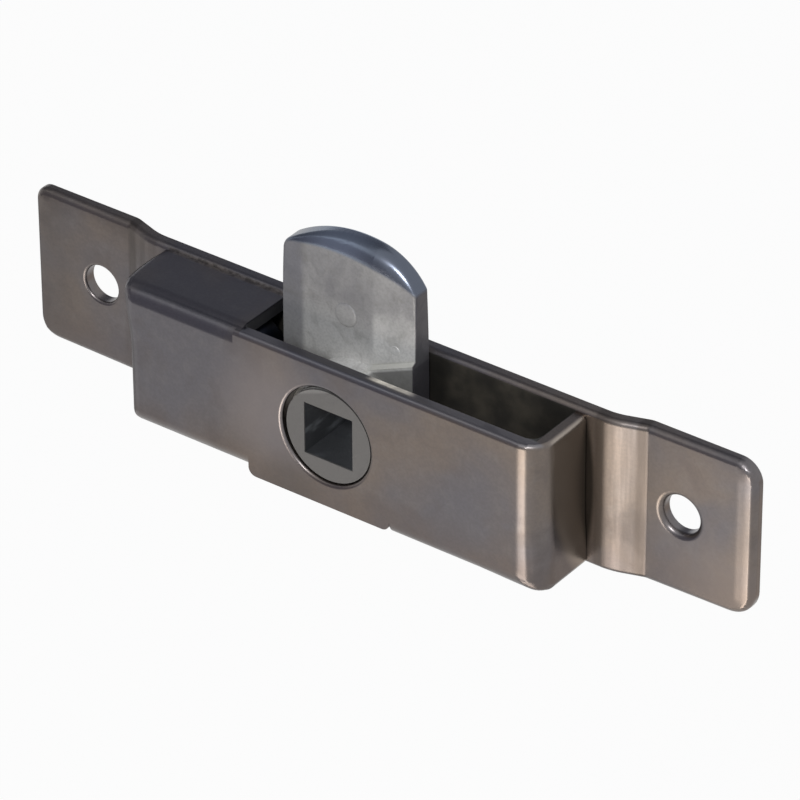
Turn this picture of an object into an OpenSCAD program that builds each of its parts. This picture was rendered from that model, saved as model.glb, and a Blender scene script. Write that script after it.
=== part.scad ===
// Surface-mounted lock with a quarter-turn tongue, worked by a square key.
// Millimetres. The origin is on the spindle axis, in the plane that the ears screw down to.
// +Z is the way the tongue points when it is shot, and -Y is the way the lock faces.
// Each piece is drawn face on, x to the right, y up, z the depth forward of the mounting
// plane, and face_on() then stands it upright.

/* [Back plate] */
// Length of the strap over both ears
strap_length = 126; // [100:1:160]
// Width of the strap, which is its height on the door
strap_width = 25; // [22:0.5:32]
// Thickness of the strap
strap_thickness = 2; // [1.5:0.1:3]
// Radius of the strap's four corners
strap_corner = 2.5; // [0.5:0.1:5]
// How far the middle of the strap stands forward of the ears
crank_height = 1.6; // [0.6:0.1:3]
// Clear strap between the case and the start of each crank
crank_margin = 2.6; // [0.5:0.1:6]
// Angle of the slope in each crank
crank_angle = 18; // [10:1:40]
// Inner face radius of the soft bend beside the case
crank_soft_radius = 8; // [3:0.5:12]
// Inner face radius of the sharp bend beside the ear
crank_sharp_radius = 1; // [0.5:0.1:3]
// Distance between the two fixing holes
fixing_spacing = 102.5; // [90:0.5:140]
// Diameter of each fixing hole
fixing_diameter = 6; // [3.5:0.1:7]

/* [Case] */
// Distance from the spindle axis to the outside of either end wall
case_half_length = 36.5; // [32:0.5:42]
// Height of the front face above the strap
case_depth = 11.4; // [9:0.1:16]
// Thickness of the pressed sheet
case_wall = 2; // [1:0.1:2.5]
// Outer radius of the pressed edges, and of the closed left half's corners
case_bend = 2.7; // [2.6:0.1:4]
// Rounding of the lower right corner, between the floor and the end wall
case_corner = 0.8; // [0.2:0.1:1.5]
// Rounding of the end walls' outer edges, where they stand on the strap
case_foot = 0.8; // [0.2:0.1:1.2]
// From the strap's upper edge down to the top of the closed left half
top_inset = 0.4; // [0:0.1:1.5]
// From the strap's lower edge up to the underside of the closed left half
underside_inset = 1.3; // [0:0.1:1.5]
// From the strap's upper edge down to the open front edge
rim_inset = 0.85; // [0:0.05:2.5]
// From the strap's lower edge up to the lip under the spindle
lip_inset = 0.75; // [0:0.05:2.5]
// Where the upper flange of the closed left half ends, left of the spindle
upper_flange_end = 15.6; // [15:0.1:18]
// Where the lower flange ends and the lip begins, left of the spindle
lip_start = 14.2; // [14.2:0.1:18]
// Where the lip ends and the floor of the open right half begins, right of the spindle
floor_start = 10.8; // [10.8:0.1:14]
// Radius of the lip's corners
lip_corner = 1.3; // [0.2:0.1:2]
// Width left for the tongue under its lower flank when it is turned in
floor_clearance = 0.7; // [0.2:0.05:1]

/* [Tongue] */
// Reach of the tongue's tip above the spindle
tongue_reach = 28.1; // [24:0.1:31]
// Distance from the spindle axis to the left flank
flank_left = 13.3; // [11.5:0.1:13.5]
// Distance from the spindle axis to the right flank
flank_right = 9.8; // [8:0.1:11]
// Thickness of the blade along its middle
blade_thickness = 3.7; // [2.5:0.1:5]
// Radius of the crown's long arc
crown_radius = 20; // [16:0.5:40]
// How far left of the spindle the crown's arc is centred
crown_offset = 0.6; // [0:0.1:3]
// Radius of the left shoulder
shoulder_left = 2.5; // [1:0.1:4]
// Radius of the right shoulder, which leads into the keep
shoulder_right = 6.5; // [4:0.1:9]
// Radius of the rounded front edge of the crown
crown_edge = 2.8; // [0.5:0.1:3.3]
// Width of the sloping strip beside the left flank
facet_left = 3.9; // [2:0.1:5]
// Width of the sloping strip beside the right flank
facet_right = 7.2; // [4:0.1:8]
// How far either strip falls back at its flank
facet_fall = 0.55; // [0.2:0.05:1]
// How far the thick root stands forward of the blade
root_step = 0.7; // [0.3:0.1:1.5]
// Height above the spindle of the root's upper edge, at the right flank
root_height = 12.2; // [10:0.1:14]
// Slope of the root's upper edge, which falls towards the left flank
root_slope = 22; // [0:1:30]
// Radius of the heel's lower right quarter, and the drop of its flat
heel_radius = 11.5; // [10.5:0.1:12]
// Radius of the heel's lower left corner, which rides over the spring
heel_corner = 5; // [3:0.1:7]

/* [Spindle] */
// Diameter of the spindle, front and rear
spindle_diameter = 14.8; // [13:0.1:16]
// Radial play of the spindle in the front of the case
front_play = 0.35; // [0.1:0.05:0.6]
// Radial play of the spindle in the strap
rear_play = 0.08; // [0.03:0.01:0.1]
// Side of the square key socket
socket_side = 8.5; // [7:0.1:9]
// Diameter of the barrel behind the front face
barrel_diameter = 18; // [17:0.1:20]
// Depth of the spindle's face behind the front of the case
face_recess = 0.3; // [0:0.05:1]
// End play between the casting and the sheet metal, at each end
end_play = 0.3; // [0.2:0.05:0.6]

/* [Spring] */
// Thickness of the spring strip
spring_thickness = 0.6; // [0.4:0.05:1]
// Width of the spring strip
spring_width = 7; // [4:0.1:8]
// Gap round the spring, to the flanges, the end wall and the tongue
spring_gap = 0.3; // [0.2:0.05:0.5]

/* [Hidden] */
$fn = 96;
steel = [0.47, 0.44, 0.42];
zinc = [0.62, 0.63, 0.65];
spring_steel = [0.30, 0.32, 0.36];
over = 1;

strap_back = crank_height;
strap_front = crank_height + strap_thickness;
case_front = strap_front + case_depth;
case_inside = case_front - case_wall;
inner_bend = case_bend - case_wall;
left_half_top = strap_width / 2 - top_inset;
left_half_drop = strap_width / 2 - underside_inset;
rim_height = strap_width / 2 - rim_inset;
lip_drop = strap_width / 2 - lip_inset;
floor_inside = flank_right + floor_clearance;
floor_outside = floor_inside + case_wall;
blade_back = strap_front + end_play;
blade_front = blade_back + blade_thickness;
root_front = blade_front + root_step;
barrel_front = case_inside - end_play;
spindle_front = case_front - face_recess;
spindle_rear = strap_back + end_play;
crown_center = tongue_reach - crown_radius;
crank_start = case_half_length + crank_margin;

// Everything is drawn face on and stood up by this turn.
module face_on() {
    rotate([90, 0, 0]) children();
}

// Points along an arc, from one angle to another.
function arc(center, radius, from, to, steps = 12) =
    [for (i = [0:steps]) let (a = from + (to - from) * i / steps)
        center + radius * [cos(a), sin(a)]];

// A rectangle about the origin with round corners.
module rounded_rectangle(length, width, radius) {
    square([length - 2 * radius, width], center = true);
    square([length, width - 2 * radius], center = true);
    for (x = [-1, 1], y = [-1, 1])
        translate([x * (length / 2 - radius), y * (width / 2 - radius)]) circle(radius);
}

// One side of the strap's lengthwise section: flat, soft bend, slope, sharp bend, ear.
// soft and sharp are the radii of this face, and height is where its middle part lies.
function crank_face(height, soft, sharp) =
    let (
        fall = crank_height - (crank_soft_radius + crank_sharp_radius + strap_thickness)
            * (1 - cos(crank_angle)),
        soft_end = crank_start + (crank_soft_radius + strap_thickness) * sin(crank_angle),
        sharp_start = soft_end + fall / tan(crank_angle),
        sharp_end = sharp_start + crank_sharp_radius * sin(crank_angle)
    )
    concat(
        arc([crank_start, height - soft], soft, 90, 90 - crank_angle),
        arc([sharp_end, height - crank_height + sharp], sharp, 270 - crank_angle, 270),
        [[strap_length / 2, height - crank_height]]
    );

// The strap's section, mirrored about the spindle.
module strap_section() {
    back = crank_face(strap_back, crank_soft_radius, crank_sharp_radius + strap_thickness);
    front = crank_face(strap_front, crank_soft_radius + strap_thickness, crank_sharp_radius);
    half = concat(back, [for (i = [len(front) - 1:-1:0]) front[i]]);
    other = [for (i = [len(half) - 1:-1:0]) [-half[i].x, half[i].y]];
    polygon(concat(half, other));
}

// Flat bar with a cranked ear at each end, two fixing holes and the spindle's rear bearing.
module back_plate() {
    color(steel) face_on() difference() {
        intersection() {
            translate([0, strap_width / 2, 0]) rotate([90, 0, 0])
                linear_extrude(strap_width) strap_section();
            linear_extrude(strap_front + over)
                rounded_rectangle(strap_length, strap_width, strap_corner);
        }
        for (side = [-1, 1])
            translate([side * fixing_spacing / 2, 0, -over])
                cylinder(d = fixing_diameter, h = strap_front + 2 * over);
        translate([0, 0, -over])
            cylinder(r = spindle_diameter / 2 + rear_play, h = strap_front + 2 * over);
    }
}

// A block whose two end edges at the back are rounded by foot, for the end walls to stand on.
module foot_block(bottom, top, foot) {
    length = case_half_length - foot;
    translate([0, top, 0]) rotate([90, 0, 0]) linear_extrude(top - bottom) {
        translate([-length, strap_front]) square([2 * length, case_depth]);
        translate([-case_half_length, strap_front + foot]) square([2 * case_half_length, case_depth]);
        for (side = [-1, 1]) translate([side * length, strap_front + foot]) circle(foot);
    }
}

// A block folded on its four front edges, with mitred corners between the folds.
// corner rounds its edges along the depth.
module folded_block(half_length, bottom, top, back, front, radius, corner) {
    shoulder = front - radius;
    intersection() {
        translate([-half_length, 0, 0]) rotate([90, 0, 90]) linear_extrude(2 * half_length) {
            translate([bottom, back]) square([top - bottom, shoulder - back]);
            translate([bottom + radius, back]) square([top - bottom - 2 * radius, front - back]);
            for (y = [bottom + radius, top - radius]) translate([y, shoulder]) circle(radius);
        }
        translate([0, top, 0]) rotate([90, 0, 0]) linear_extrude(top - bottom) {
            translate([-half_length, back]) square([2 * half_length, shoulder - back]);
            translate([radius - half_length, back]) square([2 * (half_length - radius), front - back]);
            for (side = [-1, 1]) translate([side * (half_length - radius), shoulder]) circle(radius);
        }
        translate([0, (bottom + top) / 2, back]) linear_extrude(front - back)
            rounded_rectangle(2 * half_length, top - bottom, corner);
    }
}

// A block drawn to one radius on its front edges, its front corners and its edges along the
// depth.
module drawn_block(half_length, bottom, top, back, front, radius) {
    x = half_length - radius;
    low = bottom + radius;
    high = top - radius;
    shoulder = front - radius;
    translate([0, (bottom + top) / 2, back]) linear_extrude(shoulder - back)
        rounded_rectangle(2 * half_length, top - bottom, radius);
    translate([-x, low, back]) cube([2 * x, high - low, front - back]);
    for (y = [low, high]) translate([-x, y, shoulder]) rotate([0, 90, 0])
        cylinder(r = radius, h = 2 * x);
    for (side = [-1, 1]) translate([side * x, low, shoulder]) {
        rotate([-90, 0, 0]) cylinder(r = radius, h = high - low);
        for (y = [0, high - low]) translate([0, y, 0]) sphere(radius);
    }
}

// What either half of the case is hollowed with, open at the back.
module hollow(bottom, top) {
    folded_block(case_half_length - case_wall, bottom + case_wall, top - case_wall,
        strap_front - over, case_inside, inner_bend, inner_bend);
}

// The closed left half, as a shell of the sheet's thickness with round corners.
module drawn_shell() {
    difference() {
        intersection() {
            drawn_block(case_half_length, -left_half_drop, left_half_top, strap_front, case_front,
                case_bend);
            foot_block(-left_half_drop, left_half_top, case_foot);
        }
        hollow(-left_half_drop, left_half_top);
    }
}

// The open right half, as a shell that is cut off at the rim afterwards.
module folded_shell() {
    difference() {
        intersection() {
            folded_block(case_half_length, -floor_outside, strap_width, strap_front, case_front,
                case_bend, case_corner);
            foot_block(-floor_outside, strap_width, case_foot);
        }
        hollow(-floor_outside, strap_width);
    }
}

// Outline of the flat front between the two halves, from the lip up to the rim.
module front_outline() {
    translate([-upper_flange_end - over, case_bend - left_half_drop])
        square([upper_flange_end + floor_start + 2 * over, rim_height + left_half_drop - case_bend]);
    translate([(floor_start - lip_start) / 2, -lip_drop / 2])
        rounded_rectangle(floor_start + lip_start, lip_drop, lip_corner);
}

// The box that keeps what lies left of one place and above or below the spindle.
module left_of(end, low, high) {
    translate([-case_half_length - over, low, 0])
        cube([case_half_length + over - end, high - low, case_front + over]);
}

// Pressed cover: closed on the left, open on top and below the spindle for the tongue.
module case() {
    color(steel) face_on() difference() {
        union() {
            intersection() {
                drawn_shell();
                union() {
                    left_of(upper_flange_end, 0, strap_width);
                    left_of(lip_start, -strap_width, 0);
                }
            }
            intersection() {
                folded_shell();
                translate([floor_start, -strap_width, 0])
                    cube([case_half_length, strap_width + rim_height, case_front + over]);
            }
            translate([0, 0, case_inside]) linear_extrude(case_wall) front_outline();
        }
        translate([0, 0, case_inside - over])
            cylinder(r = spindle_diameter / 2 + front_play, h = case_wall + 2 * over);
    }
}

// Outline of the blade and its heel, round the crown from flank to flank.
module tongue_outline() {
    crown = [-crown_offset, crown_center];
    left_x = -flank_left + shoulder_left;
    right_x = flank_right - shoulder_right;
    left = [left_x, crown.y + sqrt(pow(crown_radius - shoulder_left, 2) - pow(left_x - crown.x, 2))];
    right = [right_x, crown.y + sqrt(pow(crown_radius - shoulder_right, 2) - pow(right_x - crown.x, 2))];
    left_angle = atan2(left.y - crown.y, left.x - crown.x);
    right_angle = atan2(right.y - crown.y, right.x - crown.x);
    heel_angle = -acos(flank_right / heel_radius);
    polygon(concat(
        arc(right, shoulder_right, 0, right_angle),
        arc(crown, crown_radius, right_angle, left_angle, 24),
        arc(left, shoulder_left, left_angle, 180),
        arc([heel_corner - flank_left, heel_corner - heel_radius], heel_corner, 180, 270),
        arc([0, 0], heel_radius, -90, heel_angle)
    ));
}

// Cross-section of the blade: a flat middle with a sloping strip beside each flank.
module blade_section(front) {
    polygon([
        [-flank_left, blade_back], [flank_right, blade_back],
        [flank_right, front - facet_fall], [flank_right - facet_right, front],
        [facet_left - flank_left, front], [-flank_left, front - facet_fall]
    ]);
}

// A disc whose front edge is rounded, as deep as the tongue.
module crown_disc() {
    translate([-crown_offset, crown_center, 0]) rotate_extrude() {
        square([crown_radius, blade_front - crown_edge]);
        square([crown_radius - crown_edge, blade_front]);
        translate([crown_radius - crown_edge, blade_front - crown_edge]) circle(crown_edge);
    }
}

// The blade's section run along its length.
module blade_bar(front) {
    reach = tongue_reach + heel_radius + 2 * over;
    translate([0, tongue_reach + over, 0]) rotate([90, 0, 0])
        linear_extrude(reach) blade_section(front);
}

// Die-cast tongue, root, barrel and spindle in one, with the square socket cored through.
module tongue() {
    color(zinc) face_on() difference() {
        union() {
            intersection() {
                blade_bar(blade_front);
                linear_extrude(blade_front + over) tongue_outline();
                union() {
                    crown_disc();
                    translate([-strap_width, -strap_width, 0])
                        cube([2 * strap_width, strap_width + crown_center, blade_front + over]);
                }
            }
            intersection() {
                blade_bar(root_front);
                linear_extrude(root_front + over) intersection() {
                    tongue_outline();
                    translate([flank_right, root_height]) rotate(180 + root_slope)
                        translate([-strap_width, 0]) square(3 * strap_width);
                }
            }
            translate([0, 0, blade_back])
                cylinder(d = barrel_diameter, h = barrel_front - blade_back);
            translate([0, 0, spindle_rear])
                cylinder(d = spindle_diameter, h = spindle_front - spindle_rear);
        }
        translate([-socket_side / 2, -socket_side / 2, 0])
            cube([socket_side, socket_side, case_front + over]);
    }
}

// Spring strip bent to a U, from the end wall to a round crest against the tongue's flank.
module leaf_spring() {
    outer = (left_half_top + left_half_drop) / 2 - case_wall - spring_gap;
    inner = outer - spring_thickness;
    center = [-flank_left - spring_gap - outer, (left_half_top - left_half_drop) / 2];
    wall = -case_half_length + case_wall + spring_gap;
    depth = (strap_front + case_inside - spring_width) / 2;
    color(spring_steel) face_on() translate([0, 0, depth]) linear_extrude(spring_width)
        polygon(concat(
            [[wall, center.y - outer]], arc(center, outer, -90, 90, 36), [[wall, center.y + outer]],
            [[wall, center.y + inner]], arc(center, inner, 90, -90, 36), [[wall, center.y - inner]]
        ));
}

back_plate();
case();
tongue();
leaf_spring();
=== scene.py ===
from contextlib import contextmanager
from math import acos, cos, pi, radians, sin, tan

import bmesh
import bpy
from mathutils import Matrix, Vector


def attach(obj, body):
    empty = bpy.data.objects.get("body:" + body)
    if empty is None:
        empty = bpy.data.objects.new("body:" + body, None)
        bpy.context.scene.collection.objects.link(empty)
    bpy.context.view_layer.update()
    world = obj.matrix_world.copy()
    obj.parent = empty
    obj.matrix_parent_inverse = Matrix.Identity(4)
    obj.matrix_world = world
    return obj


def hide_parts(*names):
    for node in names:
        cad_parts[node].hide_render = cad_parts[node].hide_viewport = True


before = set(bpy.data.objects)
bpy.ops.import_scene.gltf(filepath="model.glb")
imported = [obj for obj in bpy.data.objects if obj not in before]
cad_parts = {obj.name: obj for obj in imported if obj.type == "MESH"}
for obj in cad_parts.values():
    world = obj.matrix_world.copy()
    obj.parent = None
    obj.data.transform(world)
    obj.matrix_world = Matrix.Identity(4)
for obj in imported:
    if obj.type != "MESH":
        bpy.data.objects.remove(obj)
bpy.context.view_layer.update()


# Back plate
# Bright flat bar of about 25 by 2 mm, with an ear joggled back at each end. It is cropped to
# length, bent, and pierced for the two fixing screws and for the rear end of the spindle.
STRAP_HALF = 63.5
STRAP_TOP = 12.55
STRAP_BOTTOM = -13.0
STRAP_THICKNESS = 2.0
STRAP_BACK = 1.6
STRAP_FRONT = STRAP_BACK + STRAP_THICKNESS
STRAP_ROLL = 0.95
LEFT_CORNERS = (2.2, 3.4)
RIGHT_CORNERS = (3.4, 4.2)
CRANK_START = 39.1
CRANK_ANGLE = radians(18)
SOFT_BEND = 8.0
SHARP_BEND = 3.0
EAR_START = 46.0
EAR_DROOP = 0.32
DROOP_WIDTH = 3.2
DROOP_CUTS = (0.32, 0.45, 0.6, 0.8, 1)
FIXING_PLACE = 51.25
FIXING_RADIUS = 3.0
LEFT_MOUTH = 0.5
RIGHT_MOUTH = 1.0
BEARING_RADIUS = 7.48
BEARING_MOUTH = 0.1
STRAP_BURR = 0.4
HAIR = 0.01


def at(x, depth, height):
    """A point as the drawing gives it, in millimetres, with depth forward of the door."""
    return Vector((x, -depth, height))


def points(geometry):
    """The points among what an operator made."""
    return [item for item in geometry if isinstance(item, bmesh.types.BMVert)]


def edges_where(mesh, test):
    """The edges with both ends where test(x, depth, height) holds."""
    return [e for e in mesh.edges if all(test(v.co.x, -v.co.y, v.co.z) for v in e.verts)]


def region(mesh, test):
    """The faces whose middle passes test(x, depth, height), with their edges and points."""
    middles = [(face, face.calc_center_median()) for face in mesh.faces]
    faces = [face for face, middle in middles if test(middle.x, -middle.y, middle.z)]
    chosen = set(faces)
    return (faces + [e for e in mesh.edges if not chosen.isdisjoint(e.link_faces)]
            + [v for v in mesh.verts if not chosen.isdisjoint(v.link_faces)])


def planes_at(x=(), depth=(), height=()):
    """A plane square to its axis at each of the places given."""
    return ([(at(place, 0, 0), (1, 0, 0)) for place in x]
            + [(at(0, place, 0), (0, 1, 0)) for place in depth]
            + [(at(0, 0, place), (0, 0, 1)) for place in height])


def score(mesh, geometry, point, normal):
    """Cuts faces along a plane without parting them, so that they can bend there."""
    bmesh.ops.bisect_plane(mesh, geom=geometry, plane_co=point, plane_no=normal, dist=0.0001)


def roll(mesh, edges, radius, segments):
    """Rounds edges. On a square edge the distance given is the radius."""
    bmesh.ops.bevel(mesh, geom=edges, offset=radius, offset_type="OFFSET", segments=segments,
                    profile=0.5, affect="EDGES", material=-1)


def snap(mesh):
    """Puts every point on a thousandth of a millimetre, so that flush faces stay flush."""
    for vert in mesh.verts:
        vert.co = [round(c, 3) for c in vert.co]


def add_object(name, data):
    """Puts data into the scene under its name."""
    added = bpy.data.objects.new(name, data)
    bpy.context.scene.collection.objects.link(added)
    return added


def add_mesh(name, mesh):
    """A new object from a bmesh, which is used up."""
    data = bpy.data.meshes.new(name)
    mesh.to_mesh(data)
    mesh.free()
    return add_object(name, data)


def solid(name, mesh):
    """A new object with its points merged and its faces turned outwards."""
    bmesh.ops.remove_doubles(mesh, verts=mesh.verts, dist=0.0005)
    snap(mesh)
    bmesh.ops.recalc_face_normals(mesh, faces=mesh.faces)
    return add_mesh(name, mesh)


@contextmanager
def opened(piece):
    """The piece's mesh as a bmesh, written back afterwards."""
    mesh = bmesh.new()
    mesh.from_mesh(piece.data)
    yield mesh
    mesh.to_mesh(piece.data)
    mesh.free()


def settle(piece):
    """Makes what the modifiers show into the mesh itself."""
    shown = piece.evaluated_get(bpy.context.evaluated_depsgraph_get())
    data = bpy.data.meshes.new_from_object(shown)
    piece.modifiers.clear()
    piece.data = data


def close_gaps(mesh):
    """Fills any hole that a cut leaves in the skin."""
    bmesh.ops.holes_fill(mesh, edges=[e for e in mesh.edges if e.is_boundary], sides=0)


def combine(piece, operation, mesh):
    """Joins a tool to a piece or cuts it away, and merges what is left flat."""
    tool = solid("tool", mesh)
    step = piece.modifiers.new("combine", "BOOLEAN")
    step.operation = operation
    step.solver = "EXACT"
    step.object = tool
    settle(piece)
    bpy.data.objects.remove(tool)
    with opened(piece) as joined:
        snap(joined)
        close_gaps(joined)
        bmesh.ops.dissolve_limit(joined, angle_limit=radians(0.2), verts=joined.verts,
                                 edges=joined.edges)
        close_gaps(joined)


def punch(x, height, back, front, radius, mouth):
    """A round tool whose front end flares by a quarter round, which leaves a rolled edge."""
    tool = bmesh.new()
    corners = [tool.verts.new(at(*place)) for place in
               [(0, back - 1, 0), (radius, back - 1, 0), (radius, front - mouth, 0)]]
    for pair in zip(corners, corners[1:]):
        tool.edges.new(pair)
    flare = bmesh.ops.spin(tool, geom=[corners[-1]], cent=at(radius + mouth, front - mouth, 0),
                           axis=(0, 0, 1), angle=pi / 2, steps=6)
    rim = points(flare["geom_last"])[0]
    outer = tool.verts.new(at(radius + mouth, front + 1, 0))
    tool.edges.new((rim, outer))
    tool.edges.new((outer, tool.verts.new(at(0, front + 1, 0))))
    bmesh.ops.spin(tool, geom=tool.edges[:] + tool.verts[:], cent=(0, 0, 0), axis=(0, 1, 0),
                   angle=2 * pi, steps=96, use_merge=True)
    bmesh.ops.translate(tool, verts=tool.verts, vec=at(x, 0, height))
    return tool


def smooth(piece):
    """Shades the faces as one skin."""
    for face in piece.data.polygons:
        face.use_smooth = True


def to_metres(piece):
    """Brings a piece drawn in millimetres to the frame's unit."""
    piece.data.transform(Matrix.Scale(0.001, 4))


def deburr(piece, width, segments=3):
    """Rubs the sharp edges round, and brings the finished piece to metres."""
    smooth(piece)
    worn = piece.modifiers.new("worn", "BEVEL")
    worn.width = width
    worn.segments = segments
    worn.limit_method = "ANGLE"
    worn.angle_limit = radians(35)
    worn.harden_normals = True
    shading = piece.modifiers.new("shading", "WEIGHTED_NORMAL")
    shading.weight = 90
    settle(piece)
    to_metres(piece)


def dress(piece, material):
    """Gives a piece its only material."""
    piece.data.materials.clear()
    piece.data.materials.append(material)


class Signal:
    """A shader socket that takes part in Python arithmetic."""

    def __init__(self, finish, socket):
        self.finish = finish
        self.socket = socket

    def math(self, operation, *others):
        """This signal and others through a Math node."""
        return self.finish.node("Math", {"operation": operation},
                                dict(enumerate((self, *others))))

    def __add__(self, other):
        return self.math("ADD", other)

    def __mul__(self, other):
        return self.math("MULTIPLY", other)

    def __sub__(self, other):
        return self.math("SUBTRACT", other)

    def __rsub__(self, other):
        return self.finish.node("Math", {"operation": "SUBTRACT"}, {0: other, 1: self})

    __radd__ = __add__
    __rmul__ = __mul__


class Finish:
    """The nodes of a material or world, with patterns placed on the piece in millimetres."""

    def __init__(self, owner):
        self.owner = owner
        owner.use_nodes = True
        self.tree = owner.node_tree
        self.tree.nodes.clear()
        self.place = self.mapped((1, 1, 1))
        axes = self.node("SeparateXYZ", {}, {"Vector": self.place})
        sockets = axes.socket.node.outputs
        self.x, self.height = Signal(self, sockets["X"]), Signal(self, sockets["Z"])
        self.depth = Signal(self, sockets["Y"]) * -1

    def node(self, kind, settings, inputs, output=0):
        """Adds a node: its settings first, then the values or links of its sockets."""
        node = self.tree.nodes.new("ShaderNode" + kind)
        for key, value in settings.items():
            setattr(node, key, value)
        for key, value in inputs.items():
            if isinstance(value, Signal):
                self.tree.links.new(value.socket, node.inputs[key])
            else:
                node.inputs[key].default_value = value
        return Signal(self, node.outputs[output])

    def mapped(self, stretch):
        """The place on the piece in millimetres, stretched along each axis."""
        place = self.node("TexCoord", {}, {}, "Object")
        return self.node("Mapping", {}, {"Vector": place, "Scale": [1000 * s for s in stretch]})

    def clouds(self, size, detail=3.0, stretch=(1, 1, 1), distortion=0.0):
        """Noise from 0 to 1, its lumps about size millimetres across."""
        return self.node("TexNoise", {}, {
            "Vector": self.mapped(stretch) if stretch != (1, 1, 1) else self.place,
            "Scale": 1 / size, "Detail": detail, "Distortion": distortion})

    def ramp(self, value, low, high):
        """0 below low and 1 above high, with a smooth rise between."""
        return self.node("MapRange", {"interpolation_type": "SMOOTHSTEP"},
                         {"Value": value, "From Min": low, "From Max": high})

    def fall(self, value, low, high):
        """1 below low and 0 above high."""
        return 1 - self.ramp(value, low, high)

    def within(self, value, low, high, soft):
        """1 between low and high, falling off over soft on either side."""
        return (self.ramp(value, low - soft, low + soft)
                * self.fall(value, high - soft, high + soft))

    def box(self, **sides):
        """1 in a box, each of whose sides is named x, depth or height: low, high and soft."""
        first, *others = [self.within(getattr(self, name), *side) for name, side in sides.items()]
        for other in others:
            first = first * other
        return first

    def away(self, *terms):
        """The distance from a point in two terms, each a coordinate, its place and a weight."""
        first, second = [(value - place).math("POWER", 2) * weight
                         for value, place, weight in terms]
        return (first + second).math("SQRT")

    def blend(self, amount, first, second):
        """The first color turning into the second."""
        return self.node("Mix", {"data_type": "RGBA"}, {0: amount, 6: first, 7: second}, 2)

    def layered(self, color, *layers):
        """A color under layers, each an amount and a color."""
        for amount, tint in layers:
            color = self.blend(amount, color, tint)
        return color

    def grain(self, pattern, depth, strength):
        """Fine unevenness of the surface, its depth in metres."""
        return self.node("Bump", {}, {"Height": pattern, "Distance": depth,
                                      "Strength": strength}, "Normal")

    def coat(self, shader):
        """Puts the shader on the surface."""
        kind = "World" if isinstance(self.owner, bpy.types.World) else "Material"
        output = self.tree.nodes.new("ShaderNodeOutput" + kind)
        self.tree.links.new(shader.socket, output.inputs["Surface"])
        return self.owner


def rgb(red, green, blue):
    """An opaque color from its linear parts."""
    return (red, green, blue, 1)


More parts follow.
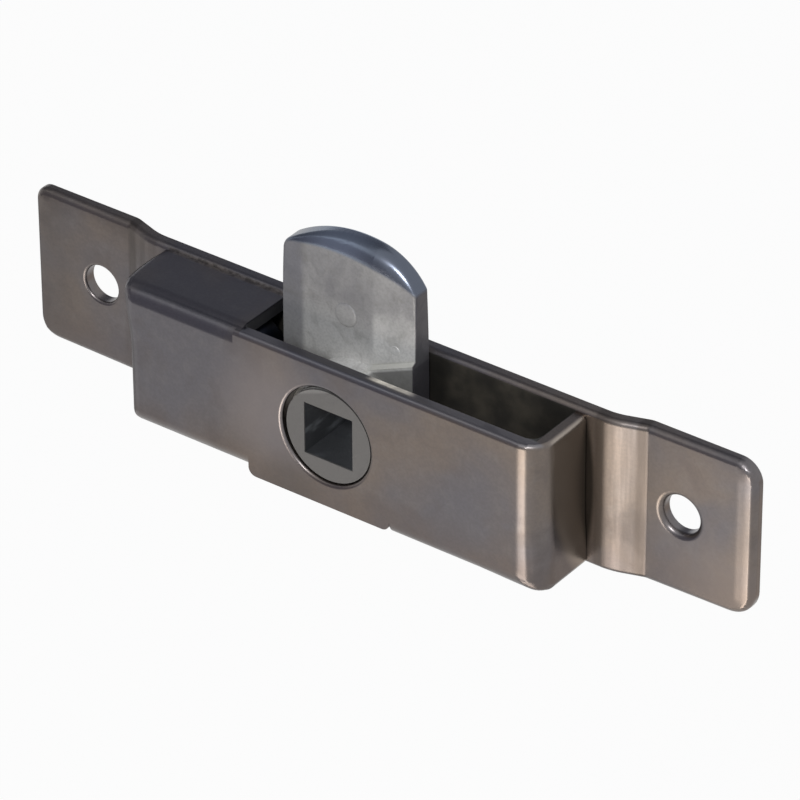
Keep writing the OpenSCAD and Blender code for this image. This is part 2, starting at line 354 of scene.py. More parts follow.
def bright_strip(name):
    """Zinc-plated strip, satin and mottled, with oily grime where the case closes it in."""
    steel = Finish(bpy.data.materials.new(name))
    x, depth, height = steel.x, steel.depth, steel.height
    ends = x.math("ABSOLUTE")

    # Mottled plating, streaked on the cranks, with a painted sheen that makes the right ear
    # lighter and warmer
    broad = steel.ramp(steel.clouds(24, 3, distortion=0.6), 0.36, 0.66)
    patch = steel.ramp(steel.clouds(8, 4, distortion=0.8), 0.47, 0.72)
    mist = steel.clouds(2.2, 4, distortion=0.3)
    speck = steel.clouds(0.45, 2)
    streak = steel.ramp(steel.clouds(1.5, 3, stretch=(1, 1, 0.07)), 0.4, 0.68)
    # Darker and warmer towards the bottom.
    darker_low_down = steel.ramp(height * -1 + steel.clouds(7, 3) * 6, 7, 14)
    slope = steel.within(ends, 39.5, 46.8, 0.9)
    # Painted sheen: the lower right of the right ear lighter and warmer.
    painted_ear_sheen = steel.ramp(x, 46, 60) * steel.ramp(height * -1, -3, 10)

    # Inside of the case, dark with oily dirt, with painted shadow beside the tongue and at the
    # blind end, and painted shade on the cut end of the upper flange
    pocket = steel.box(x=(-34.6, 34.6, 0.05), depth=(2.8, 13.05, 0.05),
                       height=(-10.6, 11.95, 0.05))
    sludge = steel.ramp(steel.clouds(4, 5), 0.3, 0.7)
    grime = steel.blend(sludge, rgb(0.022, 0.020, 0.016), rgb(0.070, 0.061, 0.046))
    # Painted shadow: the tongue's shadow on the back wall beside it, and the end wall's shadow at
    # the blind end.
    painted_pocket_shadow = steel.ramp(x, 26.0, 33.0) + steel.fall(x, 11.5, 14.0)
    # Painted shade: the cut end of the upper flange, dark in the gap beside the tongue.
    painted_flange_shade = (steel.box(x=(-15.75, -15.3, 0.1), depth=(4.0, 14.0, 0.3))
                  * steel.ramp(height, 9.8, 10.1))

    # Where the case meets the strap: the scorched seam, a painted shadow in the gap behind the
    # end wall, and a painted reflection on the end wall
    seam = steel.box(x=(-37.2, -15.5, 0.6), height=(12.0, 12.7, 0.25), depth=(3.3, 4.1, 0.25))
    scorch = steel.ramp(steel.clouds(0.9, 3), 0.45, 0.6)
    bowed = x + height.math("POWER", 2) * 0.011
    # Painted shadow: a dark band on the strap in the gap behind the end wall, tapering at both
    # ends.
    painted_gap_shadow = (steel.ramp(x, 35.8, 36.4) * steel.fall(bowed, 37.4, 38.5)
               * steel.box(depth=(3.0, 4.4, 0.2), height=(-12.2, 11.4, 1.0)))
    # Painted reflection: the end wall lighter and warmer away from its upper back corner.
    painted_wall_reflection = (steel.fall(steel.away((depth, 1.5, 1.9), (height, 8.0, 0.42)), 13.0, 15.5)
                * steel.ramp(x, 35.9, 36.3) * steel.ramp(depth, 3.6, 3.9))

    # Rim with a painted reflection and a painted highlight, the front as handling has rubbed it,
    # soot low on the front, painted shade at the cranks' bends, and the left ear dulled
    # Painted reflection: the rim's band lighter and bluer.
    rim = (steel.box(depth=(12.9, 15.5, 0.3)) * steel.ramp(height, 11.1, 11.5)
           * steel.ramp(x, -15.7, -15.5))
    # Painted highlight: a bright warm streak along the rim, less metallic so that it stays
    # bright.
    painted_rim_highlight = (steel.box(x=(6.5, 13.8, 0.9), depth=(12.6, 13.8, 0.2))
               * steel.ramp(height, 11.2, 11.45) * (0.6 + steel.ramp(mist, 0.4, 0.6) * 0.4))
    polish = (steel.fall(steel.away((x, -10, 1), (height, 1, 1)), 2, 13)
              * steel.ramp(depth, 14.7, 14.9))
    soot = steel.fall(steel.away((x, -6.5, 1), (height, -11.5, 1)), 2, 7)
    # Painted shade: darker bands at the cranks' sharp bends and at the start of the right crank's
    # slope.
    painted_crease_shade = (steel.within(ends, 44.1, 45.7, 0.4)
              + steel.ramp(x, 37.6, 38.3) * steel.fall(x, 38.8, 41.4) * 0.85)
    dull_ear = steel.fall(x, -62, -52)

    color = steel.layered(
        steel.blend(broad, rgb(0.140, 0.133, 0.143), rgb(0.176, 0.147, 0.128)),
        (patch * 0.4, rgb(0.113, 0.097, 0.092)),
        (steel.ramp(mist, 0.45, 0.8) * 0.22, rgb(0.21, 0.195, 0.19)),
        (darker_low_down * 0.35, rgb(0.125, 0.094, 0.076)),
        (steel.ramp(speck, 0.35, 0.65) * 0.16, rgb(0.09, 0.085, 0.085)),
        (slope * (0.05 + streak * 0.3), rgb(0.085, 0.074, 0.066)),
        (painted_ear_sheen * 0.45, rgb(0.235, 0.19, 0.16)),
        (pocket * 0.95, grime),
        (painted_pocket_shadow * pocket * 0.75, rgb(0.012, 0.011, 0.009)),
        (painted_flange_shade * 0.9, rgb(0.03, 0.03, 0.033)),
        (seam * 0.85, rgb(0.050, 0.037, 0.025)),
        (seam * scorch * 0.8, rgb(0.012, 0.009, 0.008)),
        (painted_gap_shadow * 0.9, rgb(0.030, 0.026, 0.023)),
        (painted_wall_reflection * 0.8, rgb(0.36, 0.31, 0.26)),
        (rim * 0.5, rgb(0.215, 0.215, 0.235)),
        (painted_rim_highlight, rgb(0.80, 0.74, 0.64)),
        (polish * 0.55, rgb(0.235, 0.210, 0.208)),
        (painted_crease_shade * 0.7, rgb(0.080, 0.067, 0.059)),
        (soot * 0.3, rgb(0.085, 0.077, 0.070)),
        (dull_ear * 0.3, rgb(0.095, 0.088, 0.086)))
    rough = 0.29 + broad * 0.04 + patch * 0.05 + pocket * 0.2 + slope * streak * 0.06
    bare = 1 - (pocket + painted_rim_highlight + seam).math("MINIMUM", 1) * 0.8
    brushed = steel.clouds(0.35, 3, stretch=(0.25, 1, 1)) * 0.4 + mist * 0.6
    return steel.coat(steel.node("BsdfPrincipled", {}, {
        "Base Color": color, "Metallic": bare, "Roughness": rough,
        "Normal": steel.grain(brushed, 0.00003, 0.5)}))


def rise(value, low, high):
    """0 below low, 1 above high and smooth between them."""
    share = min(max((value - low) / (high - low), 0), 1)
    return share * share * (3 - 2 * share)


def joggled_bar():
    """The bar's back face in straight lines, bent to its radii and given its thickness."""
    bar = bmesh.new()
    run = STRAP_BACK / tan(CRANK_ANGLE)
    soft = CRANK_START + SOFT_BEND * tan(CRANK_ANGLE / 2)
    half = [(soft, STRAP_BACK), (soft + run, 0), (STRAP_HALF, 0)]
    line = [bar.verts.new(at(x, depth, STRAP_BOTTOM)) for x, depth in
            [(-x, depth) for x, depth in reversed(half)] + half]
    edges = [bar.edges.new(pair) for pair in zip(line, line[1:])]
    raised = bmesh.ops.extrude_edge_only(bar, edges=edges)["geom"]
    bmesh.ops.translate(bar, vec=(0, 0, STRAP_TOP - STRAP_BOTTOM), verts=points(raised))
    for place, radius in ((soft, SOFT_BEND), (soft + run, SHARP_BEND)):
        bends = edges_where(bar, lambda x, depth, height: abs(abs(x) - place) < HAIR)
        roll(bar, bends, radius * tan(CRANK_ANGLE / 2), 6)
    bar.normal_update()
    bmesh.ops.solidify(bar, geom=bar.faces[:], thickness=STRAP_THICKNESS)
    for side, radii in ((-1, LEFT_CORNERS), (1, RIGHT_CORNERS)):
        for level, radius in zip((STRAP_TOP, STRAP_BOTTOM), radii):
            roll(bar, edges_where(bar, lambda x, depth, height: x * side > STRAP_HALF - HAIR
                                  and abs(height - level) < HAIR), radius, 10)
    bmesh.ops.recalc_face_normals(bar, faces=bar.faces)
    front_outline = [e for e in bar.edges if min(f.normal.y for f in e.link_faces) < -0.9
                     and max(f.normal.y for f in e.link_faces) > -0.3]
    roll(bar, front_outline, STRAP_ROLL, 6)
    return bar


def droop_ears(bar):
    """The ears' front faces fall away gently towards their sheared edges."""
    steps = [DROOP_WIDTH * share for share in DROOP_CUTS]
    with opened(bar) as mesh:
        for side in (-1, 1):
            planes = planes_at(
                x=[side * (STRAP_HALF - step) for step in steps],
                height=([STRAP_TOP - step for step in steps]
                        + [STRAP_BOTTOM + step for step in steps]))
            for point, normal in planes:
                ear = region(mesh, lambda x, depth, height: x * side > EAR_START)
                score(mesh, ear, point, normal)
        for vert in mesh.verts:
            x, depth, height = abs(vert.co.x), -vert.co.y, vert.co.z
            if depth > STRAP_THICKNESS - STRAP_ROLL - 0.15 and x > EAR_START:
                inward = min(STRAP_HALF - x, STRAP_TOP - height, height - STRAP_BOTTOM)
                fall = max(1 - inward / DROOP_WIDTH, 0) ** 2
                vert.co.y += EAR_DROOP * fall * rise(x, EAR_START + 0.5, EAR_START + 6)


strip_finish = bright_strip("zinc_plated_strip")

back_plate = solid("strap", joggled_bar())
for side, mouth in ((-1, LEFT_MOUTH), (1, RIGHT_MOUTH)):
    combine(back_plate, "DIFFERENCE",
            punch(side * FIXING_PLACE, 0, 0, STRAP_THICKNESS, FIXING_RADIUS, mouth))
combine(back_plate, "DIFFERENCE",
        punch(0, 0, STRAP_BACK, STRAP_FRONT, BEARING_RADIUS, BEARING_MOUTH))
droop_ears(back_plate)
deburr(back_plate, STRAP_BURR)
dress(back_plate, strip_finish)
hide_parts("back_plate")
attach(back_plate, "lock_body")


# Tongue
# One zinc die casting: blade, thicker root, barrel and spindle, with the square for the key
# cored through. It comes out of the die with round edges and is tumbled.
FLANK_LEFT = -13.4
FLANK_RIGHT = 9.8
BLADE_BACK = 3.9
BLADE_FRONT = 7.6
ROOT_FRONT = 8.3
CROWN_CENTER = (-0.88, 7.45)
CROWN_RADIUS = 20.75
CROWN_END = radians(81.9)
CROWN_ROLL = 2.6
CROWN_FOOT = 21.0
CROWN_PEAK = 1.0
CROWN_FADE_RIGHT = 9.0
CROWN_FADE_LEFT = 14.0
CROWN_LEAST_SHARE = 0.2
CROWN_BACK_SHARE = 0.3
BROW_RADIUS = 10.8
NOSE_CORNER = 1.2
SHOULDER_LEFT = 2.5
HEEL_RADIUS = 11.5
HEEL_CORNER = 5.0
FACET_LEFT = 3.9
FACET_LEFT_FALL = 0.3
FACET_RIGHT = 7.2
FACET_RIGHT_FALL = 0.55
ROOT_HEIGHT = 12.2
ROOT_SLOPE = radians(22)
ROOT_CHAMFER = 0.45
BARREL_RADIUS = 9.0
BARREL_FRONT = 12.7
SPINDLE_RADIUS = 7.4
SPINDLE_BACK = 1.9
SPINDLE_FRONT = 14.7
SOCKET_SIDE = 8.5
CORE_LENGTH = 40
CASTING_BURR = 0.3
PIN_MARKS = ((-2.0, 15.9, 1.95, 0.14, 0.0), (6.3, 12.9, 0.8, 0.06, 0.28))


def add_arc(mesh, center, radius, start, end, steps, depth):
    """Spins a point round a center on the face, and returns the first and the last point."""
    first = mesh.verts.new(at(center[0] + radius * cos(start), depth,
                              center[1] + radius * sin(start)))
    swept = bmesh.ops.spin(mesh, geom=[first], cent=at(center[0], depth, center[1]),
                           axis=(0, -1, 0), angle=end - start, steps=steps)["geom_last"]
    return first, points(swept)[0]


def tongue_slab():
    """The tongue's outline, from flank round the crown to flank and round the heel, extruded."""
    slab = bmesh.new()
    inset = CROWN_RADIUS - BROW_RADIUS
    brow = (CROWN_CENTER[0] + inset * cos(CROWN_END), CROWN_CENTER[1] + inset * sin(CROWN_END))
    inset = BROW_RADIUS - NOSE_CORNER
    nose_angle = acos((FLANK_RIGHT - NOSE_CORNER - brow[0]) / inset)
    nose = (FLANK_RIGHT - NOSE_CORNER, brow[1] + inset * sin(nose_angle))
    inset = CROWN_RADIUS - SHOULDER_LEFT
    left_angle = acos((FLANK_LEFT + SHOULDER_LEFT - CROWN_CENTER[0]) / inset)
    left = (FLANK_LEFT + SHOULDER_LEFT, CROWN_CENTER[1] + inset * sin(left_angle))
    heel = (FLANK_LEFT + HEEL_CORNER, HEEL_CORNER - HEEL_RADIUS)
    heel_end = -acos(FLANK_RIGHT / HEEL_RADIUS)
    arcs = [add_arc(slab, *arc, BLADE_BACK) for arc in (
        (nose, NOSE_CORNER, 0, nose_angle, 8),
        (brow, BROW_RADIUS, nose_angle, CROWN_END, 32),
        (CROWN_CENTER, CROWN_RADIUS, CROWN_END, left_angle, 50),
        (left, SHOULDER_LEFT, left_angle, pi, 10),
        (heel, HEEL_CORNER, pi, 1.5 * pi, 12),
        ((0, 0), HEEL_RADIUS, -pi / 2, heel_end, 12))]
    for (_, end), (start, _) in zip(arcs, arcs[1:] + arcs[:1]):
        if (end.co - start.co).length > HAIR:
            slab.edges.new((end, start))
    bmesh.ops.remove_doubles(slab, verts=slab.verts, dist=HAIR)
    face = bmesh.ops.contextual_create(slab, geom=slab.edges[:])["faces"]
    grown = bmesh.ops.extrude_face_region(slab, geom=face)["geom"]
    bmesh.ops.translate(slab, vec=at(0, BLADE_FRONT - BLADE_BACK, 0), verts=points(grown))
    return slab


def crown_share(edge):
    """How much of the crown's roll an edge gets: most in the middle, little at the ends."""
    middle = (edge.verts[0].co + edge.verts[1].co) / 2
    if edge.verts[0].co.y != edge.verts[1].co.y or middle.z < CROWN_FOOT:
        return 0
    if -middle.y < BLADE_BACK + HAIR:
        return CROWN_BACK_SHARE
    out = middle.x - CROWN_PEAK
    fade = (out / CROWN_FADE_RIGHT) ** 4 if out > 0 else (out / CROWN_FADE_LEFT) ** 2
    return max(1 - fade, CROWN_LEAST_SHARE)


def roll_by_share(mesh, share, radius, segments):
    """Rounds each edge by its own share of a radius."""
    weight = mesh.edges.layers.float.new("bevel_weight_edge")
    for edge in mesh.edges:
        edge[weight] = share(edge)
    piece = solid("rounding", mesh)
    rounding = piece.modifiers.new("rounding", "BEVEL")
    rounding.width = radius
    rounding.segments = segments
    rounding.limit_method = "WEIGHT"
    rounding.use_clamp_overlap = False
    settle(piece)
    mesh = bmesh.new()
    mesh.from_mesh(piece.data)
    bpy.data.objects.remove(piece)
    return mesh


def all_of(mesh):
    """Everything that a mesh is made of."""
    return mesh.verts[:] + mesh.edges[:] + mesh.faces[:]


def lean_front(mesh, start, side, slope):
    """Lets the blade's front fall back in a facet, from an upright line to one flank."""
    score(mesh, all_of(mesh), at(start, 0, 0), (1, 0, 0))
    for vert in mesh.verts:
        share = (-vert.co.y - BLADE_BACK) / (BLADE_FRONT - BLADE_BACK)
        vert.co.y += max((vert.co.x - start) * side, 0) * slope * share


def thicken_root(blade):
    """Brings the blade forward below a sloping ledge, with a chamfer along it."""
    ledge = at(FLANK_RIGHT, 0, ROOT_HEIGHT)
    upward = Vector((-sin(ROOT_SLOPE), 0, cos(ROOT_SLOPE)))
    score(blade, all_of(blade), ledge, upward)
    bmesh.ops.recalc_face_normals(blade, faces=blade.faces)
    root = region(blade, lambda x, depth, height: depth > BLADE_FRONT - 1
                  and (at(x, 0, height) - ledge).dot(upward) < 0)
    grown = points(bmesh.ops.extrude_face_region(blade, geom=root)["geom"])
    bmesh.ops.translate(blade, vec=(0, 0, -ROOT_CHAMFER),
                        verts=[v for v in grown if (v.co - ledge).dot(upward) > -HAIR])
    bmesh.ops.translate(blade, vec=at(0, ROOT_FRONT - BLADE_FRONT, 0), verts=grown)


def round_bar(radius, back, front):
    """A bar on the spindle's axis."""
    bar = bmesh.new()
    bmesh.ops.create_cone(bar, cap_ends=True, segments=90, radius1=radius, radius2=radius,
                          depth=front - back, matrix=Matrix.Rotation(pi / 2, 4, "X"))
    bmesh.ops.translate(bar, verts=bar.verts, vec=at(0, (back + front) / 2, 0))
    return bar


def tongue_casting():
    """Blade, root, barrel and spindle in one, with the key's square through them."""
    blade = roll_by_share(tongue_slab(), crown_share, CROWN_ROLL, 12)
    lean_front(blade, FLANK_LEFT + FACET_LEFT, -1, FACET_LEFT_FALL / FACET_LEFT)
    lean_front(blade, FLANK_RIGHT - FACET_RIGHT, 1, FACET_RIGHT_FALL / FACET_RIGHT)
    thicken_root(blade)
    casting = solid("tongue_casting", blade)
    combine(casting, "UNION", round_bar(BARREL_RADIUS, BLADE_BACK + 1, BARREL_FRONT))
    combine(casting, "UNION", round_bar(SPINDLE_RADIUS, SPINDLE_BACK, SPINDLE_FRONT))
    core = bmesh.new()
    bmesh.ops.create_cube(core, size=1)
    bmesh.ops.scale(core, verts=core.verts, vec=(SOCKET_SIDE, CORE_LENGTH, SOCKET_SIDE))
    combine(casting, "DIFFERENCE", core)
    return casting


def die_marks():
    """The faint raised rounds that the ejector pins leave on the blade. For each, PIN_MARKS
    has its x, height and radius, how far it stands out and how far the facet lies back."""
    marks = bmesh.new()
    for x, height, radius, lift, back in PIN_MARKS:
        profile = [marks.verts.new(at(radius * share, BLADE_FRONT + out, 0)) for share, out in (
            (0, lift), (0.8, lift), (0.92, lift * 0.7), (1, -0.02), (0.9, -0.6), (0, -0.6))]
        edges = [marks.edges.new(pair) for pair in zip(profile, profile[1:])]
        bmesh.ops.spin(marks, geom=profile + edges, cent=(0, 0, 0), axis=(0, 1, 0),
                       angle=2 * pi, steps=40, use_merge=True)
        bmesh.ops.translate(marks, vec=at(x, -back, height),
                            verts=[v for v in marks.verts if not v.tag])
        for vert in marks.verts:
            vert.tag = True
    piece = solid("die_marks", marks)
    smooth(piece)
    to_metres(piece)
    return piece


def tumbled_casting():
    """Zinc die casting, grey and cloudy, with painted light making it bright on its right facet
    and low down.
    """
    zinc = Finish(bpy.data.materials.new("zinc_casting"))
    x, depth, height = zinc.x, zinc.depth, zinc.height

    # Cloudy skin of the casting, with painted light making it paler low down and on the right
    # facet, and painted shade on the left facet
    broad = zinc.ramp(zinc.clouds(7, 4, distortion=0.7), 0.36, 0.66)
    fine = zinc.ramp(zinc.clouds(1.6, 5, distortion=0.5), 0.4, 0.7)
    speck = zinc.clouds(0.4, 2)
    smudge = zinc.ramp(zinc.clouds(3.2, 4, distortion=1.0), 0.5, 0.72)
    # Painted shade: the left facet darker and bluer.
    left = zinc.ramp(x * -1, 9.0, 10.2)
    # Painted light: the upper right facet paler, in patches.
    right = zinc.ramp(x, 2.2, 3.2) * zinc.ramp(height, 9, 13)
    light_patches = zinc.ramp(zinc.clouds(3.5, 3, stretch=(1, 1, 0.6)) - height * 0.03, -0.15, 0.15)
    # Painted light: paler low down, and palest where this meets the right facet.
    worn = zinc.fall(height, 8, 20)

    # Ledge with a painted highlight, root, the crown's mirror with a painted reflection, painted
    # shade on the right flank, the spindle's face and the square socket
    below = (height - ROOT_HEIGHT) - (x - FLANK_RIGHT) * tan(ROOT_SLOPE)
    face = zinc.ramp(depth, 6.6, 6.9)
    # Painted highlight: a bright band along the ledge's chamfer.
    ledge = face * zinc.ramp(x, 1.5, 3) * zinc.within(below, -0.6, 0.15, 0.25)
    root = zinc.fall(below, -1.1, -0.7)
    # Darker low down on the blade, just above the case's rim.
    darker_near_slot = (zinc.fall(height + zinc.clouds(3, 3) * 3, 7.5, 10.5) * face
                 * zinc.fall(depth, 8.5, 9))
    # Painted shade: the right flank dark.
    flank = zinc.ramp(x, 9.55, 9.75)
    crown = zinc.ramp(zinc.away((x, -3.4, 1), (height, -5.8, 1)), 31.2, 31.8)
    # Painted reflection: the crown bluish, lightest in the middle.
    painted_crown_reflection = zinc.blend(zinc.within(x, -8, 0.5, 3.5), rgb(0.098, 0.112, 0.145),
                            rgb(0.205, 0.240, 0.310))
    spindle = zinc.ramp(depth, 14.0, 14.4)
    socket = (zinc.box(x=(-4.3, 4.3, 0.05), height=(-4.3, 4.3, 0.05))
              * zinc.fall(depth, 14.3, 14.6))
    scrape = zinc.ramp(zinc.clouds(1.6, 3, stretch=(0.35, 0.3, 1)), 0.5, 0.75)
    socket_tint = zinc.blend(scrape, rgb(0.030, 0.033, 0.038), rgb(0.16, 0.17, 0.18))

    color = zinc.layered(
        zinc.blend(broad, rgb(0.180, 0.178, 0.186), rgb(0.245, 0.242, 0.244)),
        (fine * 0.4, rgb(0.145, 0.145, 0.15)),
        (left * 0.7, rgb(0.125, 0.125, 0.145)),
        (right * (0.2 + light_patches * 0.5), rgb(0.42, 0.415, 0.41)),
        (worn * (1 - left * 0.6), rgb(0.64, 0.63, 0.61)),
        (worn * right * 0.8, rgb(0.86, 0.85, 0.82)),
        (smudge * 0.25, rgb(0.125, 0.118, 0.102)),
        (zinc.ramp(speck, 0.4, 0.65) * 0.14, rgb(0.08, 0.08, 0.08)),
        (ledge * 0.75, rgb(0.50, 0.49, 0.44)),
        (root * 0.8, rgb(0.165, 0.162, 0.155)),
        (darker_near_slot * 0.6, rgb(0.080, 0.075, 0.064)),
        (flank * 0.9, rgb(0.060, 0.056, 0.066)),
        (crown * 0.9, painted_crown_reflection),
        (spindle * 0.85, rgb(0.082, 0.078, 0.076)),
        (socket * 0.92, socket_tint))
    matt = 1 - crown
    rough = 0.46 - crown * 0.2 + fine * 0.08 * matt
    pits = (speck * 0.4 + fine * 0.6) * matt
    return zinc.coat(zinc.node("BsdfPrincipled", {}, {
        "Base Color": color, "Metallic": 0.25 + crown * 0.6, "Roughness": rough,
        "Normal": zinc.grain(pits, 0.00005, 0.6)}))


tongue = tongue_casting()
deburr(tongue, CASTING_BURR)
casting_finish = tumbled_casting()
dress(tongue, casting_finish)
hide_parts("tongue")
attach(tongue, "tongue")

pin_marks = die_marks()
dress(pin_marks, casting_finish)
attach(pin_marks, "tongue")


# Spring
# A strip of blued spring steel bent to a U. It is trapped in the closed half of the case and
# its crest bears on the tongue's left flank, which holds the tongue at either end of its turn.
SPRING_WALL = -34.2
SPRING_CENTER = (-22.95, 0.45)
SPRING_RADIUS = 9.35
SPRING_THICKNESS = 0.6
SPRING_BACK = 4.8
SPRING_WIDTH = 7.0
SPRING_BURR = 0.08


def bent_strip():
    """Leg, crest and leg drawn as a line, then widened and thickened."""
    strip = bmesh.new()
    first, last = add_arc(strip, SPRING_CENTER, SPRING_RADIUS, -pi / 2, pi / 2, 36, SPRING_BACK)
    for end in (first, last):
        strip.edges.new((end, strip.verts.new((SPRING_WALL, end.co.y, end.co.z))))
    wide = bmesh.ops.extrude_edge_only(strip, edges=strip.edges[:])["geom"]
    bmesh.ops.translate(strip, vec=at(0, SPRING_WIDTH, 0), verts=points(wide))
    bmesh.ops.recalc_face_normals(strip, faces=strip.faces)
    crest = max(strip.faces, key=lambda face: face.calc_center_median().x)
    if crest.normal.x < 0:
        bmesh.ops.reverse_faces(strip, faces=strip.faces)
    bmesh.ops.solidify(strip, geom=strip.faces[:], thickness=SPRING_THICKNESS)
    return strip


def blued_strip():
    """Spring steel tempered blue, straw in patches, and drawn lengthwise."""
    blued = Finish(bpy.data.materials.new("blued_strip"))
    heat = blued.ramp(blued.clouds(7, 3, distortion=0.5), 0.35, 0.65)
    drawn = blued.clouds(0.4, 3, stretch=(1, 0.1, 1))
    return blued.coat(blued.node("BsdfPrincipled", {}, {
        "Base Color": blued.blend(heat, rgb(0.045, 0.055, 0.09), rgb(0.085, 0.075, 0.06)),
        "Metallic": 1.0, "Roughness": 0.3 + heat * 0.1,
        "Normal": blued.grain(drawn, 0.00002, 0.5)}))


leaf_spring = solid("spring_strip", bent_strip())
deburr(leaf_spring, SPRING_BURR, 2)
dress(leaf_spring, blued_strip())
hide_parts("leaf_spring")
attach(leaf_spring, "lock_body")


# Case
# Pressed from 2 mm sheet and welded to the strap. The left half is closed by a flange above
# and below; the right half is open on top, with its floor and end wall folded round.
CASE_HALF = 36.5
CASE_FRONT = 15.0
SHEET = 2.0
CASE_INSIDE = CASE_FRONT - SHEET
FOLD = 2.7
END_BEND = 4.0
DRAWN_CORNER = 1.4
FOLDED_CORNER = 0.9
LEFT_TOP = 12.1
LEFT_DROP = -11.2
RIM_TOP = 11.65
RIM_ROLL = 0.8
LIP_DROP = -11.75
LIP_CORNER = 1.3
LIP_START = -14.2
FLOOR_DROP = -12.7
FLOOR_START = 10.8
UPPER_FLANGE_END = -15.6
BORE_PLACE = -0.3
BORE_RADIUS = 7.8
BORE_MOUTH = 0.6
CASE_BURR = 0.3
OVERCUT = 9
FLARE_FRONT = 1.0
FLARE_BACK = 1.2
FLARE_SAG = 0.8
FLARE_DEPTH = 13.5
FLARE_CUTS = {"x": (-35.6, -34.8, -33.5, -31.5), "depth": (4.8, 6.5, 8.5, 10.5),
              "height": (2, 4, 6, 8)}
BELLY_OUT = 0.35
BELLY_DOWN = 0.2
BELLY_CUTS = {"x": (26, 28, 30, 32, 34), "height": (-3, -5, -7, -9)}


def block(low, high):
    """A square block between two corners, each an x, a depth and a height."""
    mesh = bmesh.new()
    bmesh.ops.create_cube(mesh, size=1)
    low, high = at(*low), at(*high)
    bmesh.ops.scale(mesh, verts=mesh.verts, vec=[abs(s) for s in high - low])
    bmesh.ops.translate(mesh, verts=mesh.verts, vec=(low + high) / 2)
    return mesh


def pressed_block(low, high, bend, fold, corner, open_side):
    """A block with its upright front edge bent to one radius, its level ones folded to a
    second, and those that run back drawn to a third. Its open side stays square."""
    def share(edge):
        ends = [(v.co.x, v.co.z) for v in edge.verts]
        if all(open_side(*end) for end in ends):
            return 0
        if all(-v.co.y < low[1] + HAIR for v in edge.verts):
            return 0
        across, along, _ = [abs(s) for s in edge.verts[0].co - edge.verts[1].co]
        if along < 0.1:
            return 1 if across < 0.1 else fold / bend
        return 0 if open_side(*ends[0]) else corner / bend
    return roll_by_share(block(low, high), share, bend, 10)


def roll_rim(cover):
    """The sheared rim of the open half, rubbed round on its outer side."""
    def outer(edge):
        faces = edge.link_faces
        places = [v.co.x for v in edge.verts]
        return (len(faces) == 2 and max(f.normal.z for f in faces) > 0.99
                and any(f.normal.z < 0.5 and (f.normal.y < -0.01 or f.normal.x > 0.5)
                        for f in faces)
                and max(places) > UPPER_FLANGE_END + HAIR
                and (min(-v.co.y for v in edge.verts) > CASE_INSIDE
                     or min(places) > CASE_HALF - SHEET))

    with opened(cover) as mesh:
        mesh.normal_update()
        rim = edges_where(mesh, lambda x, depth, height: abs(height - RIM_TOP) < HAIR)
        roll(mesh, [edge for edge in rim if outer(edge)], RIM_ROLL, 5)


def spread_corners(cover):
    """The left end flares where it is drawn, and the folded corner below right bellies out."""
    with opened(cover) as mesh:
        for point, normal in planes_at(**FLARE_CUTS):
            score(mesh, region(mesh, lambda x, depth, height: x < -26), point, normal)
        for point, normal in planes_at(**BELLY_CUTS):
            score(mesh, region(mesh, lambda x, depth, height: x > 8), point, normal)
        for vert in mesh.verts:
            x, depth, height = vert.co.x, -vert.co.y, vert.co.z
            if x < -31:
                back = min(max((FLARE_DEPTH - depth) / (FLARE_DEPTH - STRAP_FRONT), 0), 1)
                flare = FLARE_FRONT + FLARE_BACK * back * (2 - back)
                vert.co.x -= rise(-x, 31.5, 34) * rise(height, 1, 11) * flare
                vert.co.z -= rise(-x, 34, 36.5) * rise(height, 9, 12) * back * back * FLARE_SAG
            elif x > 25 and height < -2:
                low = rise(-height, 2, 11)
                vert.co.z -= BELLY_DOWN * low * rise(x, 25, 34)
                vert.co.x += BELLY_OUT * low * rise(x, 31, 36)


def pressed_case():
    """The closed half, the open half and the lip between them, hollowed and bored."""
    front = CASE_FRONT + 1
    cover = solid("pressed_cover", pressed_block(
        (-CASE_HALF, STRAP_FRONT, LEFT_DROP), (LIP_START, CASE_FRONT, LEFT_TOP),
        FOLD, FOLD, DRAWN_CORNER, lambda x, height: x > LIP_START - HAIR))
    combine(cover, "DIFFERENCE", block((UPPER_FLANGE_END, 0, RIM_TOP - FOLD),
                                       (0, front, LEFT_TOP + 1)))
    combine(cover, "UNION", pressed_block(
        (FLOOR_START, STRAP_FRONT, FLOOR_DROP), (CASE_HALF, CASE_FRONT, RIM_TOP + FOLD),
        END_BEND, FOLD, FOLDED_CORNER,
        lambda x, height: x < FLOOR_START + HAIR or height > RIM_TOP + 1))
    combine(cover, "DIFFERENCE",
            block((0, 0, RIM_TOP), (CASE_HALF + 1, front, RIM_TOP + OVERCUT)))
    combine(cover, "UNION", block((UPPER_FLANGE_END - 1, CASE_INSIDE, LEFT_DROP + FOLD),
                                  (FLOOR_START + 1, CASE_FRONT, RIM_TOP)))
    lip = block((LIP_START, CASE_INSIDE, LIP_DROP), (FLOOR_START, CASE_FRONT, 0))
    roll(lip, [e for e in edges_where(lip, lambda x, depth, height: height < -1)
               if abs(e.verts[0].co.y - e.verts[1].co.y) > 1], LIP_CORNER, 8)
    combine(cover, "UNION", lip)
    inner = FOLD - SHEET
    combine(cover, "DIFFERENCE", pressed_block(
        (-CASE_HALF + SHEET, 0, LEFT_DROP + SHEET), (0, CASE_INSIDE, LEFT_TOP - SHEET),
        inner, inner, inner, lambda x, height: x > -HAIR))
    combine(cover, "DIFFERENCE", pressed_block(
        (-1, 0, FLOOR_DROP + SHEET), (CASE_HALF - SHEET, CASE_INSIDE, RIM_TOP + OVERCUT),
        END_BEND - SHEET, inner, inner,
        lambda x, height: x < HAIR - 1 or height > RIM_TOP + 1))
    combine(cover, "DIFFERENCE",
            punch(BORE_PLACE, 0, CASE_INSIDE, CASE_FRONT, BORE_RADIUS, BORE_MOUTH))
    roll_rim(cover)
    spread_corners(cover)
    return cover


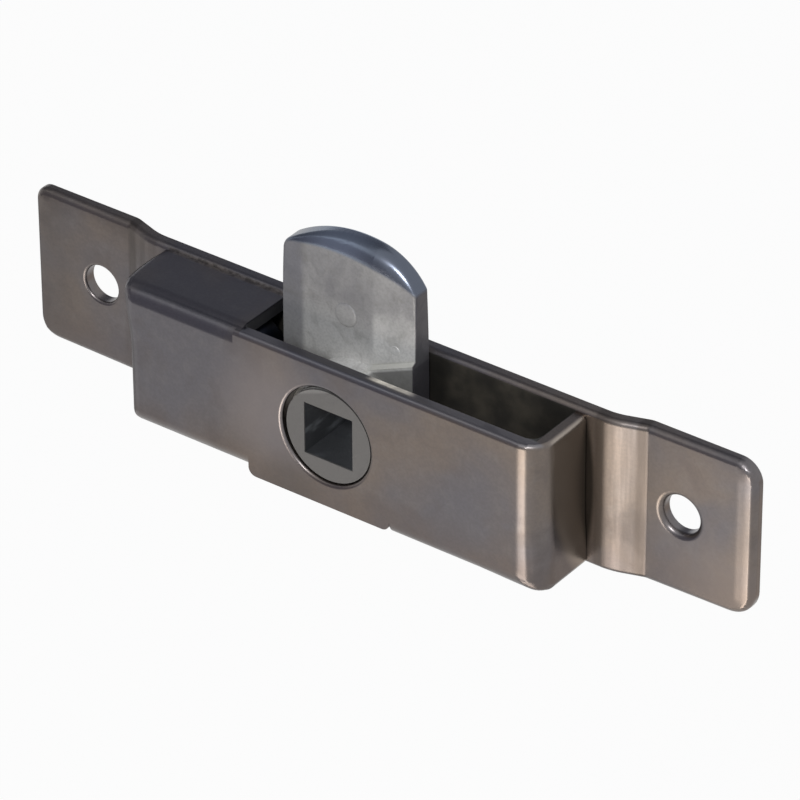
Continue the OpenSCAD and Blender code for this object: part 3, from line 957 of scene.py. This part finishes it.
case = pressed_case()
deburr(case, CASE_BURR)
dress(case, strip_finish)
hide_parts("case")
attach(case, "lock_body")


# Studio
# A pale floor well below the lock and a plain world, both white to the camera. A warm softbox
# low in front, a small key light and dim cards that only reflections see stand round it. The
# camera is at the photograph's angle.
FLOOR_LEVEL = -0.5
CAMERA_AZIMUTH = radians(36.647)
CAMERA_ELEVATION = radians(33.091)
CAMERA_TURN = radians(-0.295)
CAMERA_PLACE = (1.383, -1.307, 869.855)
FOCAL_PIXELS = 6101.441
PICTURE_PIXELS = 800
SENSOR_WIDTH = 36


def studio_camera():
    """Looks along the photograph's axis; its place is right, up and back, in millimetres."""
    ahead = Vector((-sin(CAMERA_AZIMUTH) * cos(CAMERA_ELEVATION),
                    cos(CAMERA_AZIMUTH) * cos(CAMERA_ELEVATION), -sin(CAMERA_ELEVATION)))
    level = Vector((cos(CAMERA_AZIMUTH), sin(CAMERA_AZIMUTH), 0))
    upright = level.cross(ahead)
    right = level * cos(CAMERA_TURN) + upright * sin(CAMERA_TURN)
    up = upright * cos(CAMERA_TURN) - level * sin(CAMERA_TURN)
    across, above, back = CAMERA_PLACE
    place = (right * across + up * above - ahead * back) / 1000
    data = bpy.data.cameras.new("camera")
    data.sensor_width = SENSOR_WIDTH
    data.lens = FOCAL_PIXELS * SENSOR_WIDTH / PICTURE_PIXELS
    data.clip_end = 20
    camera = add_object("camera", data)
    turned = Matrix((right, up, -ahead)).transposed().to_4x4()
    camera.matrix_world = Matrix.Translation(place) @ turned
    bpy.context.scene.camera = camera


def softbox(name, place, aim, size, power, color):
    """A square-on area light that the camera doesn't see."""
    data = bpy.data.lights.new(name, "AREA")
    data.shape = "RECTANGLE"
    data.size, data.size_y = size
    data.energy = power
    data.color = color
    lamp = add_object(name, data)
    lamp.matrix_world = Matrix.Translation(place) @ (
        Vector(aim) - Vector(place)).to_track_quat("-Z", "Y").to_matrix().to_4x4()
    lamp.visible_camera = False


def card(name, place, size, color):
    """A dim card that only the metal's reflections see, facing the lock."""
    mesh = bmesh.new()
    bmesh.ops.create_grid(mesh, x_segments=1, y_segments=1, size=0.5)
    bmesh.ops.scale(mesh, verts=mesh.verts, vec=(*size, 1))
    facing = Vector(place).to_track_quat("Z", "Y").to_matrix().to_4x4()
    bmesh.ops.transform(mesh, matrix=Matrix.Translation(place) @ facing, verts=mesh.verts)
    panel = add_mesh(name, mesh)
    cloth = Finish(bpy.data.materials.new(name))
    dress(panel, cloth.coat(cloth.node(
        "Emission", {}, {"Color": rgb(*color), "Strength": 1.0})))
    panel.visible_camera = panel.visible_diffuse = False
    panel.visible_shadow = panel.visible_transmission = False


def seen_white(finish):
    """1 for the camera, for reflections and through glass, and 0 for light on the object."""
    rays = finish.node("LightPath", {}, {}).socket.node.outputs
    seen = Signal(finish, rays["Is Camera Ray"])
    for ray in ("Is Glossy Ray", "Is Transmission Ray"):
        seen = seen.math("MAXIMUM", Signal(finish, rays[ray]))
    return seen


def studio_floor():
    """White paper that keeps a faint shadow."""
    mesh = bmesh.new()
    bmesh.ops.create_grid(mesh, x_segments=1, y_segments=1, size=6)
    bmesh.ops.translate(mesh, verts=mesh.verts, vec=(0, 0, FLOOR_LEVEL))
    floor = solid("floor", mesh)
    paper = Finish(bpy.data.materials.new("pale_floor"))
    diffuse = paper.node("BsdfDiffuse", {}, {"Color": rgb(0.8, 0.8, 0.8)})
    glow = paper.node("Emission", {}, {"Color": rgb(1, 1, 1), "Strength": 1.0})
    dress(floor, paper.coat(paper.node(
        "MixShader", {}, {0: seen_white(paper) * 0.95, 1: diffuse, 2: glow})))


def studio_world():
    """A soft even light from all round."""
    bpy.context.scene.world = bpy.data.worlds.new("studio")
    sky = Finish(bpy.context.scene.world)
    sky.coat(sky.node("Background", {}, {
        "Color": rgb(0.93, 0.96, 1.0), "Strength": 0.5 + seen_white(sky) * 0.5}))


studio_camera()
studio_floor()
studio_world()
card("scrim", (-0.75, 0.30, 0.85), (1.6, 1.5), (0.20, 0.21, 0.25))
card("front_scrim", (-0.51, -0.68, 0.10), (0.95, 1.0), (0.31, 0.31, 0.37))
card("flag", (0.42, 0.56, -0.40), (0.8, 0.5), (0.80, 0.73, 0.68))
card("left_flag", (-0.64, 0.13, -0.40), (0.5, 0.3), (0.45, 0.44, 0.44))
softbox("front_box", (0, -0.42, -0.275), (0, 0, 0), (0.20, 0.36), 1.15, (1, 0.92, 0.82))
softbox("key", (0.22, -0.60, 0.58), (0, 0, 0.01), (0.06, 0.06), 3.2, (0.97, 0.98, 1))
bpy.context.scene.view_settings.view_transform = "Standard"
